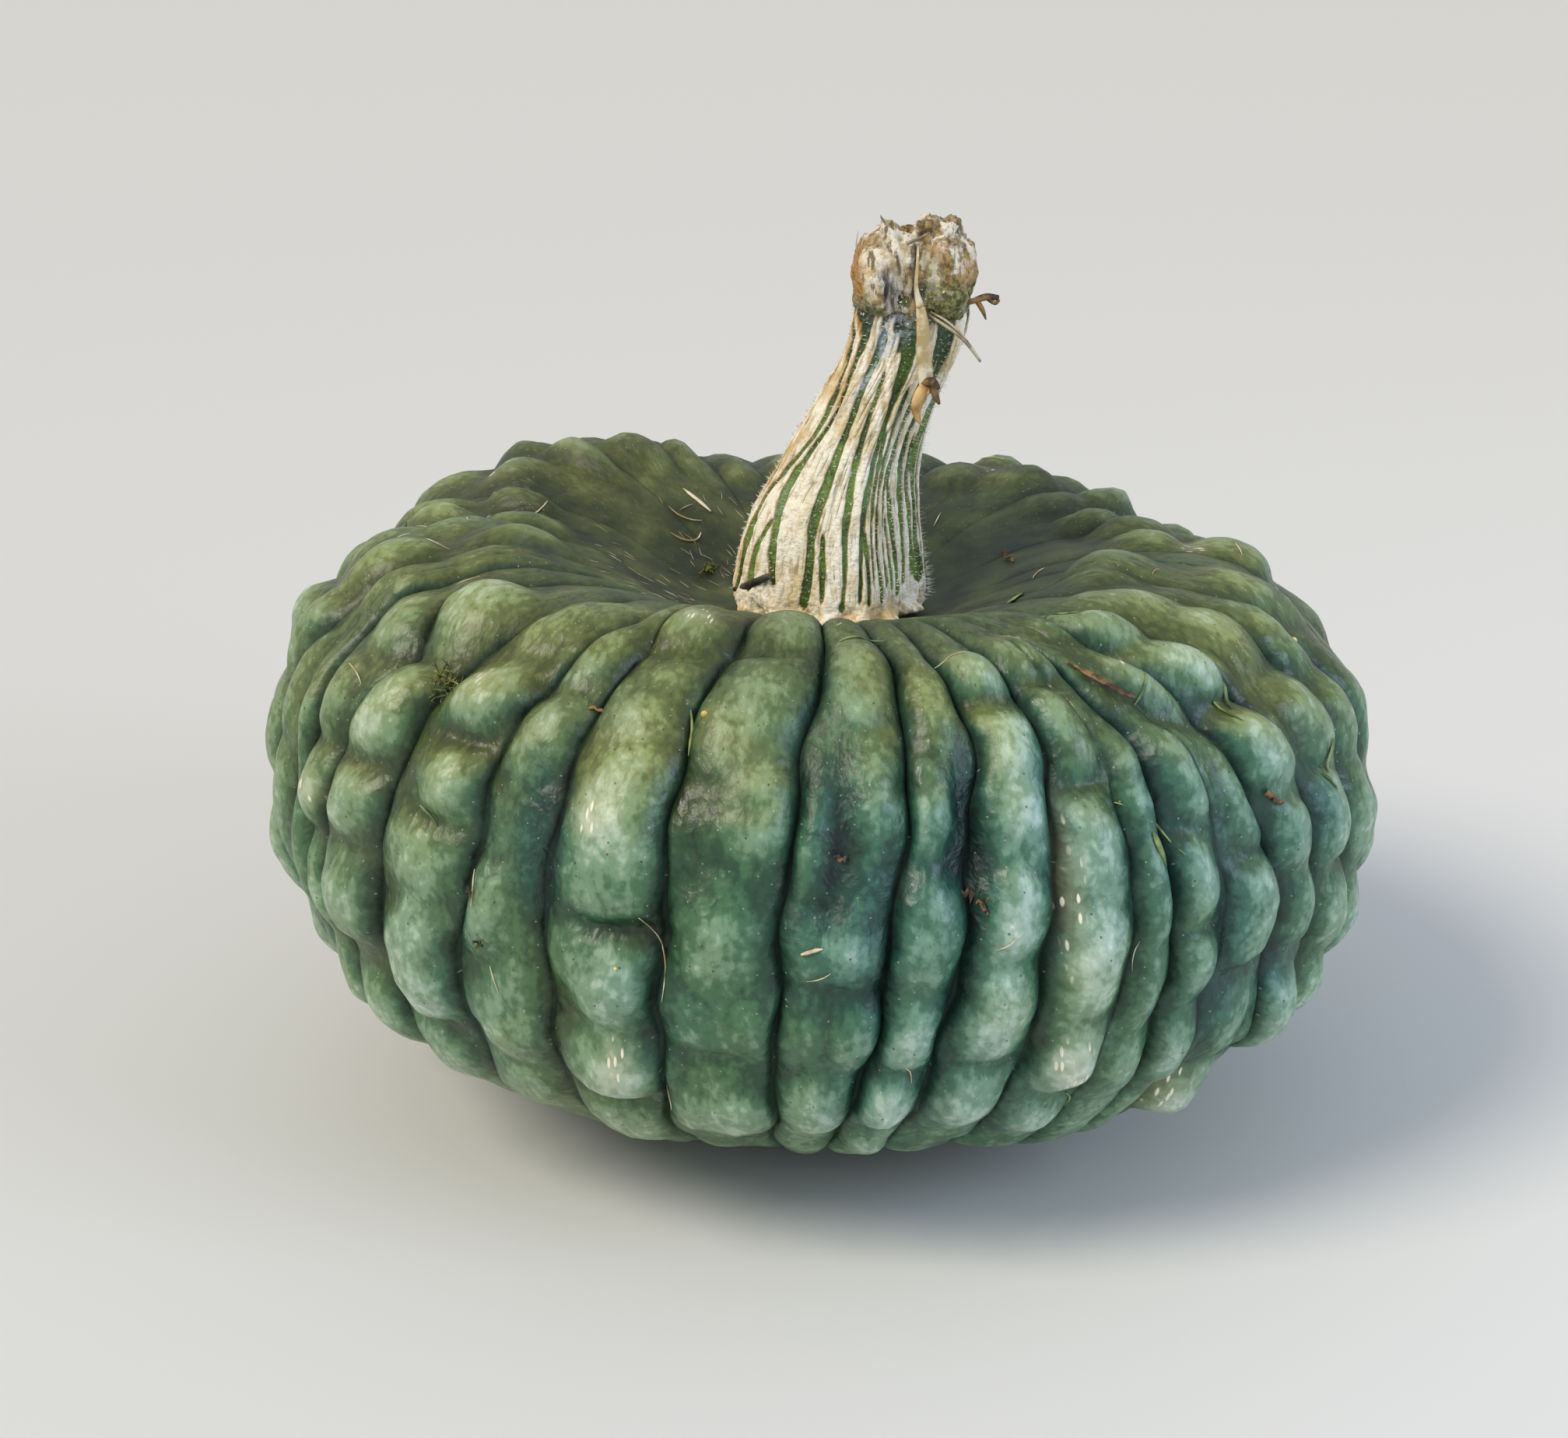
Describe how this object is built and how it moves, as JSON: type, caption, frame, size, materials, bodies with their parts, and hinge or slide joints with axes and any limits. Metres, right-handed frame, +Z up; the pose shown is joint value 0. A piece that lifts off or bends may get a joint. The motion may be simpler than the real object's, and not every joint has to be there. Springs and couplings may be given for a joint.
{
  "type": "winter squash",
  "caption": "Whole ribbed winter squash: a low, broad fruit with lumpy ribs and a striped, leaning cut stem, standing on its blossom end.",
  "frame": {"origin": "on the resting plane at z = 0, below the middle of the fruit's outline seen from above", "axes": "+Z up; -Y is the fruit's front; the stem leans towards +X"},
  "size_m": [0.317, 0.3186, 0.254],
  "materials": {
    "rind": "waxy plant rind, dark grey-green with a pale bloom on the lumps; matte_plastic stands in for plant skin",
    "cork_stem": "dry corky stalk, cream ridges with green furrows between them"
  },
  "bodies": {
    "root": {"fruit": "rind", "stem": "cork_stem"}
  },
  "joints": []
}
